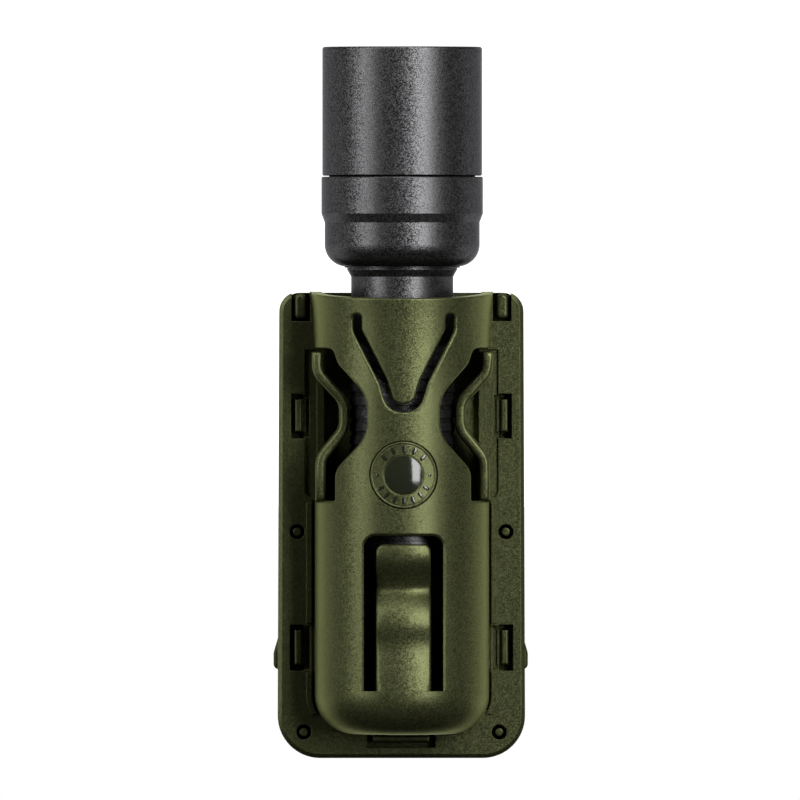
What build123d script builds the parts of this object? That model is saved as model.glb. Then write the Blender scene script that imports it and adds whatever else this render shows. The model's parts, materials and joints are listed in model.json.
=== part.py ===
from build123d import *
import math
import os

# Holstered duty torch: an aluminium focusing torch, standing head up in a moulded belt holster
# that turns on a sprung belt clip. Millimetres. X to the wearer's side, -Y outwards, +Z up.
# Inside this script heights are counted from the bottom edge of the holster and the torch's
# axis is X = 0, Y = 0. place() moves each piece so that the origin is the centre of the belt
# channel, on the face that the belt lies against.

# ---- belt clip and swivel ----
BELT_HEIGHT = 50.0
BELT_GAP = 5.6
SWIVEL_Z = 57.0
CLIP_FRONT_Y = 18.1
CLIP_THICK = 3.6
BELT_FACE_Y = CLIP_FRONT_Y + CLIP_THICK
CLIP_HALF_WIDTH = 23.0
CLIP_BOTTOM_Z = 17.0
LEDGE_TOP_Z = SWIVEL_Z - BELT_HEIGHT / 2 - 1.0
BRIDGE_BOTTOM_Z = SWIVEL_Z + BELT_HEIGHT / 2 + 1.0
CLIP_TOP_Z = 97.0
EAR_HALF_WIDTH = 29.2
EAR_BOTTOM_Z = 19.6
EAR_TOP_Z = 30.0
LEVER_FRONT_Y = BELT_FACE_Y + BELT_GAP
LEVER_THICK = 2.8
LEVER_HALF_WIDTH = 17.0
HINGE_Y = LEVER_FRONT_Y + 1.4
HINGE_Z = 91.0
HINGE_PIN_R = 1.5
BARREL_R = 3.6
BARREL_INNER_X = 9.0
HUB_R = 17.0
HUB_BACK_Y = 17.8
BOSS_R = 6.0
HUB_SCREW_CIRCLE_R = 12.0
RUNNING_FIT = 0.06

# ---- holster body ----
PLATE_FRONT_Y = 9.3
PLATE_THICK = 3.0
SPLIT_Y = PLATE_FRONT_Y + PLATE_THICK
BACK_PLATE_THICK = 2.5
BACK_Y = SPLIT_Y + BACK_PLATE_THICK
PLATE_HEIGHT = 107.0
PLATE_TOP_HALF_WIDTH = 28.0
PLATE_BOTTOM_HALF_WIDTH = 28.4
PLATE_TOP_CORNER_R = 4.6
PLATE_BOTTOM_CORNER_R = 9.7
PLATE_EDGE_BREAK = 0.9
SHELL_R = 19.9
SHELL_WALL = 2.2
SHELL_BOTTOM_Z = 5.7
SHELL_CORNER_R = 9.0
MOUTH_R = 20.75
FLARE_START_Z = 93.0
RIM_TILT_DEG = 4.0
CAVITY_R = SHELL_R - SHELL_WALL

# ---- openings in the shell ----
V_SLOT_WIDTH = 1.9
V_ROOT_Z = 101.0
V_ROOT_X = 10.5
V_KNEE_Z = 98.2
V_WAIST_X = 4.6
V_WAIST_Z = 86.5
V_POINT_Z = 80.5
V_POINT_X = 2.8
ROOT_GAP = 0.12
EDGE_ROUND = 0.55
TONGUE_EDGE = 0.35
RIM_ROUND = 0.3
WINDOW_HALF_WIDTH = 9.05
WINDOW_BOTTOM_Z = 15.8
WINDOW_TOP_Z = 51.3
WINDOW_CORNER_R = 2.7
TONGUE_HALF_WIDTH = 6.25
TONGUE_THICK = 2.2
TONGUE_TOP_Z = 49.1
TONGUE_ARC_DEG = 33.0
SIDE_BOTTOM_Z = 59.2
SIDE_TOP_Z = 94.0
ARM_THICK = 2.3
ARM_FRONT_Y = -7.0
ARM_BACK_Y = 8.7
BADGE_Z = 65.2
BADGE_R = 7.65
BADGE_DEPTH = 0.9

# ---- snap joint between the holster halves ----
UPPER_WINDOW_Z = (73.3, 83.6)
LOWER_WINDOW_Z = (20.0, 30.6)
STUD_PLACES = [(23.95, 51.9), (22.4, 5.95)]
STUD_R = 1.0
STUD_HOLE_R = 1.72
PEG_BOTTOM_Z = 100.8
PEG_TOP_Z = 106.5
PEG_ROUND = 0.8
HOOK_ROUND = 0.5
HOOK_CATCH = 0.9

# ---- torch ----
TORCH_BOTTOM_Z = 8.0
TORCH_TOP_Z = 163.1
BODY_R = 12.0
BODY_BORE_R = 9.6
NECK_R = 11.7
NECK_BOTTOM_Z = 103.0
LIP_R = 12.6
HEAD_BOTTOM_Z = 112.5
HEAD_R = 17.75
BAND_R = 18.5
SLEEVE_R = 18.3
SLEEVE_BORE_R = 16.8
SLEEVE_BOTTOM_Z = 133.55
HEAD_SEAM = 0.2
GUIDE_R = SLEEVE_BORE_R - RUNNING_FIT
GUIDE_TOP_Z = 150.5
LENS_SEAT_Z = 155.0
LENS_R = 15.9
CELL_R = 9.25
CELL_BOTTOM_Z = 30.5
CELL_LENGTH = 69.0
TAIL_CAP_TOP_Z = 32.0
TAIL_RIM_DEPTH = 3.2
BUTTON_R = 6.2
SPIGOT_R = 10.8


def place(shape):
    """Move a piece from the working coordinates to the frame with the belt at its origin."""
    return Pos(0, -BELT_FACE_Y, -SWIVEL_Z) * shape


def save(name, shape):
    """Write one node of the part."""
    export_step(place(shape), f"parts/{name}.step")


def group(shapes):
    """Keep several separate solids together in one node."""
    return Compound(children=list(shapes))


def turned(points):
    """Solid of revolution about the torch's axis from (radius, height) points."""
    return revolve(Plane.XZ * make_face(Polyline(*points, close=True)), Axis.Z)


def tube(inner_r, outer_r, bottom_z, top_z):
    """Plain ring on the torch's axis."""
    return turned([(inner_r, bottom_z), (outer_r, bottom_z), (outer_r, top_z), (inner_r, top_z)])


def disc(radius, bottom_z, top_z):
    """Plain disc on the torch's axis."""
    return Pos(0, 0, bottom_z) * extrude(Circle(radius), top_z - bottom_z)


def block(low, high):
    """Box between two opposite corners."""
    size = [b - a for a, b in zip(low, high)]
    middle = [(a + b) / 2 for a, b in zip(low, high)]
    return Pos(*middle) * Box(*size)


def through(face, front_y, back_y):
    """Extrude a face drawn in X and Z from front_y back to back_y."""
    return Pos(0, front_y, 0) * extrude(Plane.XZ * face, -(back_y - front_y))


def across(face, half_width):
    """Extrude a face drawn in Y and Z to both sides of the middle plane."""
    return Pos(-half_width, 0, 0) * extrude(Plane.YZ * face, 2 * half_width)


def rod_y(radius, front_y, back_y, x=0.0, z=0.0):
    """Round bar that runs front to back."""
    return through(Pos(x, z) * Circle(radius), front_y, back_y)


def rod_x(radius, half_length, y, z):
    """Round bar that runs from side to side."""
    return across(Pos(y, z) * Circle(radius), half_length)


def both_sides(shape):
    """A shape and its mirror image."""
    return [shape, mirror(shape, Plane.YZ)]


def coil(radius, wire_r, pitch, height):
    """Helical spring standing on the XY plane."""
    path = Helix(pitch, height, radius)
    start = Plane(origin=path @ 0, z_dir=path % 0)
    return sweep(start * Circle(wire_r), path)


# ------------------------------------------------------------------ torch
def focus_sleeve():
    """Sliding outer sleeve of the head, which carries the lens."""
    ledge_z = LENS_SEAT_Z - 2.0
    ledge_r = 14.8
    seat_r = LENS_R + 0.1
    body = turned([
        (SLEEVE_BORE_R, SLEEVE_BOTTOM_Z), (SLEEVE_R, SLEEVE_BOTTOM_Z), (SLEEVE_R, TORCH_TOP_Z),
        (seat_r, TORCH_TOP_Z), (seat_r, LENS_SEAT_Z), (ledge_r, LENS_SEAT_Z),
        (ledge_r, ledge_z), (SLEEVE_BORE_R, ledge_z - 1.5),
    ])
    outer_edges = body.edges().filter_by(GeomType.CIRCLE).filter_by(
        lambda e: e.radius > SLEEVE_R - 0.01)
    top_edge = outer_edges.sort_by(Axis.Z)[-1]
    body = fillet(top_edge, 0.6)
    bottom_edge = body.edges().filter_by(GeomType.CIRCLE).sort_by(Axis.Z).filter_by(
        lambda e: abs(e.center().Z - SLEEVE_BOTTOM_Z) < 0.01 and e.radius > SLEEVE_R - 0.01)
    return chamfer(bottom_edge, 0.25)


def bezel_ring():
    """Threaded ring that clamps the lens, with two slots for a pin spanner."""
    bottom_z = LENS_SEAT_Z + 6.0
    top_z = TORCH_TOP_Z - 0.15
    ring = turned([
        (13.9, bottom_z), (LENS_R, bottom_z), (LENS_R, top_z), (15.2, top_z), (13.9, top_z - 1.3),
    ])
    slot = block((14.7, -0.8, top_z - 0.7), (17, 0.8, top_z + 1))
    return ring - [Rot(0, 0, a) * slot for a in (0, 180)]


def lens_gasket():
    """Flat seal between the lens and the bezel ring."""
    return tube(13.9, LENS_R, LENS_SEAT_Z + 5.4, LENS_SEAT_Z + 6.0)


def focus_lens():
    """Collimating lens: a clear cone with a cup over the light source."""
    return turned([
        (0, 146.2), (3.4, 146.2), (3.6, 142.1), (5.4, 142.1), (10.6, 149.0), (14.2, LENS_SEAT_Z),
        (LENS_R, LENS_SEAT_Z), (LENS_R, LENS_SEAT_Z + 5.4), (0, LENS_SEAT_Z + 5.4),
    ])


def head_housing():
    """Fixed lower head: rounded skirt, collar band and the tube that the sleeve slides on."""
    shoulder_z = 118.0
    step_low_z = 122.9
    step_high_z = 124.9
    band_top_z = SLEEVE_BOTTOM_Z - HEAD_SEAM
    foot_r = 13.2
    skirt = Line((foot_r, HEAD_BOTTOM_Z), (foot_r, HEAD_BOTTOM_Z + 0.3))
    bulge = SagittaArc((foot_r, HEAD_BOTTOM_Z + 0.3), (HEAD_R, shoulder_z), -1.35)
    rest = Polyline(
        (HEAD_R, shoulder_z), (HEAD_R, step_low_z), (BAND_R, step_high_z), (BAND_R, band_top_z),
        (GUIDE_R, band_top_z), (GUIDE_R, GUIDE_TOP_Z), (15.2, GUIDE_TOP_Z), (15.2, 123.2),
        (10.0, 123.2), (10.0, 120.0), (SPIGOT_R + 0.05, 120.0), (SPIGOT_R + 0.05, HEAD_BOTTOM_Z),
        (foot_r, HEAD_BOTTOM_Z),
    )
    body = revolve(Plane.XZ * make_face([skirt, bulge, rest]), Axis.Z)
    band_edges = body.edges().filter_by(GeomType.CIRCLE).filter_by(
        lambda e: e.radius > BAND_R - 0.01)
    body = chamfer(band_edges.sort_by(Axis.Z)[-1], 0.25)
    groove = tube(GUIDE_R - 1.0, GUIDE_R + 1.0, 147.3, 148.5)
    return body - groove


def sleeve_o_ring():
    """Rubber ring in the guide tube's groove, which gives the sleeve its drag."""
    return Pos(0, 0, 147.9) * Torus(GUIDE_R - 0.47, 0.49)


def led_pillar():
    """Heat-sink pillar that carries the light source up the head."""
    flange = tube(2.6, 14.9, 123.25, 126.4)
    column = tube(2.6, 5.6, 126.4, 138.9)
    vents = [Rot(0, 0, 60 * i) * Pos(10.3, 0, 124.8) * Cylinder(1.5, 6) for i in range(6)]
    return flange + column - vents


def led_board():
    """Round circuit board under the light source."""
    board = disc(5.6, 138.95, 140.1)
    notches = [Rot(0, 0, 120 * i) * Pos(5.9, 0, 139.5) * Cylinder(0.9, 3) for i in range(3)]
    return board - notches


def led_emitter():
    """Light source: square carrier with a clear dome."""
    base = block((-1.75, -1.75, 140.15), (1.75, 1.75, 140.95))
    dome = Pos(0, 0, 140.95) * Sphere(1.45)
    return base + (dome & block((-2, -2, 140.9), (2, 2, 143)))


def led_spacer():
    """White ring that centres the light source on its board."""
    return tube(2.6, 5.3, 140.12, 140.9)


def led_leads():
    """Two stiff leads from the driver up the pillar."""
    return group(Pos(x, 0, 122.4) * Cylinder(0.5, 32.6) for x in (-1.4, 1.4))


def driver_board():
    """Round driver board with its contact pad and parts."""
    board = disc(9.3, 104.6, 106.0)
    pad = disc(2.4, 104.0, 104.6)
    chip = block((3.8, 1.2, 103.4), (7.0, 3.6, 104.6))
    return board + pad + chip + Rot(0, 0, 180) * chip


def driver_ring():
    """Threaded brass ring that holds the driver board in the battery tube."""
    return tube(8.0, 9.5, 106.05, 107.6)


def contact_spring():
    """Short spring between the cell's positive end and the driver."""
    return Pos(0, 0, CELL_BOTTOM_Z + CELL_LENGTH + 1.9) * coil(2.6, 0.35, 1.2, 2.3)


def body_tube():
    """Battery tube with a threaded spigot at each end and the lip under the head."""
    lip_z = HEAD_BOTTOM_Z - 0.03
    body = turned([
        (BODY_BORE_R, 22.4), (SPIGOT_R, 22.4), (SPIGOT_R, TAIL_CAP_TOP_Z + 0.2),
        (BODY_R, TAIL_CAP_TOP_Z + 0.2), (BODY_R, NECK_BOTTOM_Z - 1.5), (NECK_R, NECK_BOTTOM_Z),
        (NECK_R, lip_z - 2.0), (LIP_R, lip_z - 0.4), (LIP_R, lip_z), (SPIGOT_R, lip_z),
        (SPIGOT_R, 119.8), (BODY_BORE_R, 119.8),
    ])
    seal_groove = tube(SPIGOT_R - 0.75, SPIGOT_R + 1.0, 29.6, 31.2)
    grip = [tube(BODY_R - 0.35, BODY_R + 1.0, z, z + 1.1) for z in range(44, 92, 3)]
    return body - seal_groove - grip


def tail_o_ring():
    """Seal in the groove of the tail spigot."""
    return Pos(0, 0, 30.4) * Torus(SPIGOT_R - 0.1, 0.62)


def battery_cell():
    """Round rechargeable cell with a raised positive button."""
    body = disc(CELL_R, CELL_BOTTOM_Z, CELL_BOTTOM_Z + CELL_LENGTH)
    body = fillet(body.edges(), 0.6)
    return body + disc(3.2, CELL_BOTTOM_Z + CELL_LENGTH, CELL_BOTTOM_Z + CELL_LENGTH + 1.4)


def tail_spring():
    """Spring between the switch module and the cell."""
    return Pos(0, 0, 22.4) * coil(5.4, 0.45, 1.9, 7.5)


def tail_cap():
    """Turning tail cap with a notched rim around the button."""
    rim_top_z = TORCH_BOTTOM_Z + TAIL_RIM_DEPTH
    cap = turned([
        (BUTTON_R + 2.0, TORCH_BOTTOM_Z), (BODY_R, TORCH_BOTTOM_Z), (BODY_R, TAIL_CAP_TOP_Z),
        (SPIGOT_R + 0.55, TAIL_CAP_TOP_Z), (SPIGOT_R + 0.55, 22.0), (9.8, 22.0),
        (9.8, rim_top_z + 2.2), (BUTTON_R + 0.3, rim_top_z + 1.2), (BUTTON_R + 0.3, rim_top_z),
    ])
    rim_notch = block((-20, -3.5, TORCH_BOTTOM_Z - 1), (20, 3.5, rim_top_z - 0.8))
    grip = [tube(BODY_R - 0.35, BODY_R + 1.0, z, z + 1.0) for z in range(15, 30, 3)]
    return cap - rim_notch - grip


def switch_module():
    """Click switch in its moulded carrier."""
    carrier = tube(4.1, 9.7, 14.6, 20.3)
    lid = tube(1.2, 9.7, 20.3, 21.3)
    return carrier + lid


def switch_plunger():
    """Square plunger of the click switch, with its stem."""
    stem = disc(1.4, 14.2, 16.6)
    core = block((-2.6, -2.6, 16.6), (2.6, 2.6, 18.0))
    return stem + core


def switch_spring():
    """Small spring that returns the switch plunger."""
    return Pos(0, 0, 18.45) * coil(1.9, 0.2, 0.6, 1.5)


def switch_ring():
    """Threaded ring that holds the switch module in the tail cap."""
    ring = tube(6.9, 9.7, 21.35, 22.35)
    slot = block((6.0, -0.8, 20.8), (8.0, 0.8, 23))
    return ring - [Rot(0, 0, a) * slot for a in (0, 180)]


def tail_button():
    """Rubber tail button with its flange and a raised ring on the dome."""
    return turned([
        (0, 9.6), (3.6, 9.6), (BUTTON_R - 0.6, 10.3), (BUTTON_R, 11.2), (BUTTON_R, 11.9),
        (BUTTON_R - 1.2, 11.9), (BUTTON_R - 1.2, 12.2), (1.4, 12.2), (1.4, 14.15), (0, 14.15),
    ])


# ------------------------------------------------------------------ holster front
def plate_outline(inset=0.0):
    """Outline of the flat plate, drawn in X and Z."""
    top = PLATE_TOP_HALF_WIDTH - inset
    bottom = PLATE_BOTTOM_HALF_WIDTH - inset
    line = FilletPolyline(
        (-bottom, inset), (bottom, inset), (top, PLATE_HEIGHT - inset), (-top, PLATE_HEIGHT - inset),
        radius=[PLATE_BOTTOM_CORNER_R, PLATE_BOTTOM_CORNER_R, PLATE_TOP_CORNER_R, PLATE_TOP_CORNER_R],
        close=True,
    )
    return make_face(line)


def shell_outline(offset_by=0.0, top_z=PLATE_HEIGHT + 5):
    """Front outline of the half-round shell, drawn in X and Z, with rounded lower corners."""
    half = SHELL_R + offset_by
    bottom = SHELL_BOTTOM_Z - offset_by
    line = FilletPolyline(
        (-half, top_z), (-half, bottom), (half, bottom), (half, top_z),
        radius=SHELL_CORNER_R + offset_by,
    )
    return make_face([line, Line((half, top_z), (-half, top_z))])


def shell_section(outer):
    """Half section of the shell (outer skin or cavity) in radius and height."""
    radius = SHELL_R if outer else CAVITY_R
    mouth = MOUTH_R if outer else MOUTH_R - SHELL_WALL
    bottom = SHELL_BOTTOM_Z if outer else SHELL_BOTTOM_Z + 1.9
    corner = SHELL_CORNER_R if outer else SHELL_CORNER_R - SHELL_WALL
    top = PLATE_HEIGHT if outer else PLATE_HEIGHT + 2
    floor = Line((0, bottom), (radius - corner, bottom))
    round_corner = RadiusArc((radius - corner, bottom), (radius, bottom + corner), -corner)
    wall = Line((radius, bottom + corner), (radius, FLARE_START_Z))
    flare = TangentArc((radius, FLARE_START_Z), (mouth, top), tangent=(0, 1))
    lid = Polyline((mouth, top), (0, top), (0, bottom))
    return make_face([floor, round_corner, wall, flare, lid])


def shell_body(outer, back_y):
    """U-shaped body: half round in front, straight sided back to back_y."""
    section = Plane.XZ * shell_section(outer)
    half_round = revolve(section, Axis.Z, -180)
    side = extrude(section, -back_y)
    return half_round + both_sides(side)


def v_slot_path():
    """Centre line of the V-shaped slot, drawn in X and Z."""
    return FilletPolyline(
        (-V_ROOT_X, V_ROOT_Z), (-V_ROOT_X, V_KNEE_Z), (-V_WAIST_X, V_WAIST_Z),
        (-V_POINT_X, V_POINT_Z), (V_POINT_X, V_POINT_Z), (V_WAIST_X, V_WAIST_Z),
        (V_ROOT_X, V_KNEE_Z), (V_ROOT_X, V_ROOT_Z), radius=[3.2, 8.0, 3.3, 3.3, 8.0, 3.2],
    )


def v_slot_face():
    """The slot itself, with round ends."""
    ends = [Pos(x, V_ROOT_Z) * Circle(V_SLOT_WIDTH / 2) for x in (-V_ROOT_X, V_ROOT_X)]
    return trace(v_slot_path(), V_SLOT_WIDTH) + ends


def v_tongue_face():
    """Face inside the V, up to its root line."""
    closing = Line((V_ROOT_X, V_ROOT_Z), (-V_ROOT_X, V_ROOT_Z))
    return make_face([v_slot_path(), closing]) - v_slot_face()


def side_opening_face():
    """Right-hand waist opening in the shell, drawn in X and Z."""
    outside_x = SHELL_R + 6
    line = FilletPolyline(
        (outside_x, SIDE_TOP_Z), (16.0, SIDE_TOP_Z), (14.9, 90.6), (8.3, 83.2), (8.3, 74.2),
        (15.5, 66.2), (15.5, SIDE_BOTTOM_Z), (outside_x, SIDE_BOTTOM_Z),
        radius=[1.4, 3.5, 8.5, 8.5, 4.5, 0.4],
    )
    return make_face([line, Line((outside_x, SIDE_BOTTOM_Z), (outside_x, SIDE_TOP_Z))])


def arm_path():
    """Centre line of the right grip arm, drawn in X and Z."""
    root_x = SHELL_R - ARM_THICK / 2
    return FilletPolyline(
        (19.5, 93.2), (19.5, 88.6), (13.3, 81.8), (13.3, 75.6), (root_x, 68.8),
        (root_x, SIDE_BOTTOM_Z + ROOT_GAP), radius=[4.5, 5.5, 5.5, 4.5],
    )


def right_grip_arm():
    """Sprung S-shaped arm that grips the torch from the right."""
    arm = through(trace(arm_path(), ARM_THICK), ARM_FRONT_Y, ARM_BACK_Y)
    front_edges = arm.edges().filter_by(lambda e: e.center().Y < ARM_FRONT_Y + 0.01)
    return fillet(front_edges, 0.95)


def hook_windows():
    """Openings in the front plate for the snap hooks, with the ledges that they catch."""
    upper_low, upper_high = UPPER_WINDOW_Z
    lower_low, lower_high = LOWER_WINDOW_Z
    front = PLATE_FRONT_Y - 1
    back = SPLIT_Y + 1
    ledge_y = PLATE_FRONT_Y + 2.2
    right = [
        block((22.4, front, upper_low), (25.3, back, upper_high)),
        block((21.2, front, upper_low + 0.4), (22.5, ledge_y, upper_high - 0.4)),
        block((22.4, front, lower_low), (25.6, back, lower_high)),
        block((21.0, front, lower_low + 0.3), (22.5, ledge_y, lower_high - 0.3)),
        block((20.4, front, lower_low + 0.2), (21.4, PLATE_FRONT_Y + 0.5, lower_high - 0.2)),
        block((20.95, front, 100.2), (25.2, back, PLATE_HEIGHT + 1)),
    ]
    wide = block((-7.9, front, 2.4), (7.9, back, 5.6))
    sides = [s for cut in right for s in both_sides(cut)]
    return sides + [wide]


def plate_relief():
    """Shallow cuts in the plate: seam beside the shell and the strip beside each arm."""
    seam_ring = shell_outline(0.5) - shell_outline()
    seam = through(seam_ring, PLATE_FRONT_Y - 1, PLATE_FRONT_Y + 0.7)
    seam = seam & block((-30, 0, 11), (30, 20, SIDE_BOTTOM_Z))
    strip_line = FilletPolyline(
        (22.2, SIDE_TOP_Z - 0.3), (22.2, SIDE_BOTTOM_Z + 0.6), (SHELL_R - 0.5, SIDE_BOTTOM_Z + 0.6),
        radius=1.6,
    )
    closing = Polyline(
        (SHELL_R - 0.5, SIDE_BOTTOM_Z + 0.6), (SHELL_R - 0.5, SIDE_TOP_Z - 0.3),
        (22.2, SIDE_TOP_Z - 0.3))
    strip = through(make_face([strip_line, closing]), PLATE_FRONT_Y - 1, PLATE_FRONT_Y + 0.8)
    return [seam] + both_sides(strip)


def plate_beads():
    """Raised bead on the plate that follows the shell's outline."""
    ring = shell_outline(1.9) - shell_outline(0.7)
    bead = through(ring, PLATE_FRONT_Y - 0.5, PLATE_FRONT_Y + 0.2)
    zones = [
        block((-30, 0, LOWER_WINDOW_Z[1] + 0.4), (30, 20, SIDE_BOTTOM_Z - 0.7)),
        block((-30, 0, 10.0), (30, 20, LOWER_WINDOW_Z[0] - 0.4)),
    ]
    return [bead & zone for zone in zones]


def cut_out_edges(body, low_z, high_z):
    """Edges of the cut-outs where they meet the shell's outer skin, between two heights."""
    def on_skin(edge):
        points = [edge @ t for t in (0.1, 0.5, 0.9)]
        outside = all(math.hypot(p.X, p.Y) > SHELL_R - 0.02 and p.Y < -3 for p in points)
        in_reach = all(low_z < p.Z < high_z for p in points)
        skin_seam = all(abs(p.Z - FLARE_START_Z) < 0.01 for p in points)
        return outside and in_reach and not skin_seam
    return body.edges().filter_by(on_skin)


def rim_edges(body):
    """Outer edges of the mouth's rim."""
    def on_rim(edge):
        points = [edge @ t for t in (0.1, 0.5, 0.9)]
        outside = all(math.hypot(p.X, p.Y) > SHELL_R + RIM_ROUND for p in points)
        high = all(p.Z > PLATE_HEIGHT - 2.5 for p in points)
        return outside and high and points[1].Y < PLATE_FRONT_Y - RIM_ROUND
    return body.edges().filter_by(on_rim)


def front_housing():
    """Front half of the holster: flat plate and half-round shell with its openings."""
    plate = through(plate_outline(), PLATE_FRONT_Y, SPLIT_Y)
    rim = plate.edges().filter_by(lambda e: e.center().Y < PLATE_FRONT_Y + 0.01)
    plate = chamfer(rim, PLATE_EDGE_BREAK * 0.6, PLATE_EDGE_BREAK)
    body = plate + shell_body(True, PLATE_FRONT_Y + 1) + plate_beads()
    body = body - shell_body(False, SPLIT_Y + 1)
    rise = math.tan(math.radians(RIM_TILT_DEG)) * 30
    above = PLATE_HEIGHT + 18
    scoop_face = make_face(Polyline(
        (2, PLATE_HEIGHT), (-28, PLATE_HEIGHT - rise), (-28, above), (2, above), close=True))
    scoop = across(scoop_face, 30)
    window = FilletPolyline(
        (-WINDOW_HALF_WIDTH, WINDOW_BOTTOM_Z), (-WINDOW_HALF_WIDTH, WINDOW_TOP_Z),
        (WINDOW_HALF_WIDTH, WINDOW_TOP_Z), (WINDOW_HALF_WIDTH, WINDOW_BOTTOM_Z), radius=WINDOW_CORNER_R)
    sill = Line((WINDOW_HALF_WIDTH, WINDOW_BOTTOM_Z), (-WINDOW_HALF_WIDTH, WINDOW_BOTTOM_Z))
    window_cut = through(make_face([window, sill]), -25, 0)
    v_slot_cut = through(v_slot_face(), -25, 0)
    side_cuts = both_sides(through(side_opening_face(), -25, PLATE_FRONT_Y))
    body = body - scoop - window_cut - v_slot_cut - side_cuts
    body = fillet(cut_out_edges(body, SIDE_BOTTOM_Z - 0.5, V_ROOT_Z + 1.5), EDGE_ROUND)
    body = chamfer(cut_out_edges(body, WINDOW_BOTTOM_Z + 0.1, WINDOW_TOP_Z + 0.5), EDGE_ROUND)
    root_strip = Pos(0, V_ROOT_Z) * Rectangle(2 * V_ROOT_X, 2 * ROOT_GAP)
    body = body - through(v_tongue_face() + v_slot_face() + root_strip, -25, 0)
    badge_pocket = rod_y(BADGE_R + 0.2, -25, 0, z=BADGE_Z) & (
        disc(30, 50, 80) - disc(SHELL_R - BADGE_DEPTH, 50, 80))
    stud_holes = [h for x, z in STUD_PLACES for h in both_sides(rod_y(STUD_HOLE_R, 5, 20, x, z))]
    body = body - badge_pocket - hook_windows() - plate_relief() - stud_holes
    return fillet(rim_edges(body), RIM_ROUND)


def upper_tongue():
    """Sprung tongue inside the V slot, with a pad that bears on the torch."""
    skin = shell_body(True, PLATE_FRONT_Y) - shell_body(False, SPLIT_Y)
    tongue = skin & through(v_tongue_face(), -25, 0)
    tongue = fillet(cut_out_edges(tongue, V_POINT_Z, V_ROOT_Z - 0.2), EDGE_ROUND)
    pad_line = make_face(Polyline((-18.6, 83.0), (-12.5, 84.2), (-12.5, 86.2), (-18.6, 90.0), close=True))
    return tongue + across(pad_line, 1.9)


def lower_tongue():
    """Wavy sprung tongue in the lower window; its valley bears on the torch."""
    line = Spline(
        (-18.3, WINDOW_BOTTOM_Z + ROOT_GAP), (-17.9, 21.0), (-17.4, 27.4), (-18.0, 31.0),
        (-16.6, 34.6), (-13.6, 38.9), (-15.5, 43.0), (-17.4, 46.6), (-17.1, TONGUE_TOP_Z),
        tangents=[(0.05, 1), (0.5, 1)],
    )
    section = Plane.YZ * trace(line, TONGUE_THICK)
    strip = Rot(0, 0, -TONGUE_ARC_DEG) * revolve(section, Axis.Z, 2 * TONGUE_ARC_DEG)
    front_outline = FilletPolyline(
        (-TONGUE_HALF_WIDTH, 10), (-TONGUE_HALF_WIDTH, TONGUE_TOP_Z + 0.3),
        (TONGUE_HALF_WIDTH, TONGUE_TOP_Z + 0.3), (TONGUE_HALF_WIDTH, 10), radius=1.8)
    sill = Line((TONGUE_HALF_WIDTH, 10), (-TONGUE_HALF_WIDTH, 10))
    strip = strip & through(make_face([front_outline, sill]), -25, 0)
    long_edges = strip.edges().filter_by(
        lambda e: abs((e @ 0.5).X) > TONGUE_HALF_WIDTH - 0.01 and e.length > 20)
    return chamfer(long_edges.sort_by(Axis.Y)[:2], TONGUE_EDGE)


def badge():
    """Round badge let into the shell and curved with it."""
    skin = disc(SHELL_R + 0.15, 50, 80) - disc(SHELL_R - BADGE_DEPTH + 0.02, 50, 80)
    return skin & rod_y(BADGE_R, -25, 0, z=BADGE_Z)


# ------------------------------------------------------------------ holster back
def hook_wells():
    """Pockets in the back plate around the foot of each hook, behind the front plate's windows."""
    well_y = SPLIT_Y + 1.5
    low_high = (UPPER_WINDOW_Z, LOWER_WINDOW_Z)
    right = [block((21.5, SPLIT_Y - 1, low), (25.3, well_y, high)) for low, high in low_high]
    right.append(block((21.0, SPLIT_Y - 1, 100.2), (25.2, well_y, PLATE_HEIGHT - 0.5)))
    right += [rod_y(STUD_HOLE_R, SPLIT_Y - 1, well_y, x, z) for x, z in STUD_PLACES]
    wide = block((-7.9, SPLIT_Y - 1, 2.4), (7.9, well_y, 5.6))
    return [s for cut in right for s in both_sides(cut)] + [wide]


def snap_hooks():
    """Hooks, pegs and studs that stand forward from the back plate."""
    upper_low, upper_high = UPPER_WINDOW_Z
    lower_low, lower_high = LOWER_WINDOW_Z
    tip_y = PLATE_FRONT_Y + 0.4
    root_y = SPLIT_Y + 1.8
    right = [
        snap_hook(22.75, 24.45, tip_y, upper_low + 1.5, upper_high - 1.3),
        snap_hook(22.85, 24.55, tip_y, lower_low + 1.4, lower_high - 1.2),
    ]
    peg_face = FilletPolyline(
        (21.8, PEG_BOTTOM_Z), (24.5, PEG_BOTTOM_Z), (24.5, PEG_TOP_Z), (21.8, PEG_TOP_Z),
        radius=[0.9, 0.9, 1.3, 1.3], close=True)
    peg = through(make_face(peg_face), PLATE_FRONT_Y + 0.1, root_y)
    front_edges = peg.edges().filter_by(lambda e: e.center().Y < PLATE_FRONT_Y + 0.11)
    right.append(fillet(front_edges, PEG_ROUND))
    for x, z in STUD_PLACES:
        stud = rod_y(STUD_R, PLATE_FRONT_Y + 0.35, root_y, x, z)
        right.append(fillet(stud.edges().filter_by(lambda e: e.center().Y < PLATE_FRONT_Y + 0.4), 0.35))
    wide = block((-6.6, tip_y + 0.3, 3.6), (6.6, root_y, 5.2))
    wide = fillet(wide.edges().filter_by(lambda e: e.center().Y < tip_y + 0.31), HOOK_ROUND)
    return [s for piece in right for s in both_sides(piece)] + [wide]


def snap_hook(inner_x, outer_x, tip_y, low_z, high_z):
    """Upright hook with a rounded front and a catch that reaches under the window's inner ledge."""
    bar = block((inner_x, tip_y, low_z), (outer_x, SPLIT_Y + 1.8, high_z))
    bar = fillet(bar.edges().filter_by(lambda e: e.center().Y < tip_y + 0.01), HOOK_ROUND)
    catch = block((inner_x - HOOK_CATCH, tip_y + 1.2, low_z), (inner_x + 0.3, tip_y + 1.7, high_z))
    return bar + catch


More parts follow.
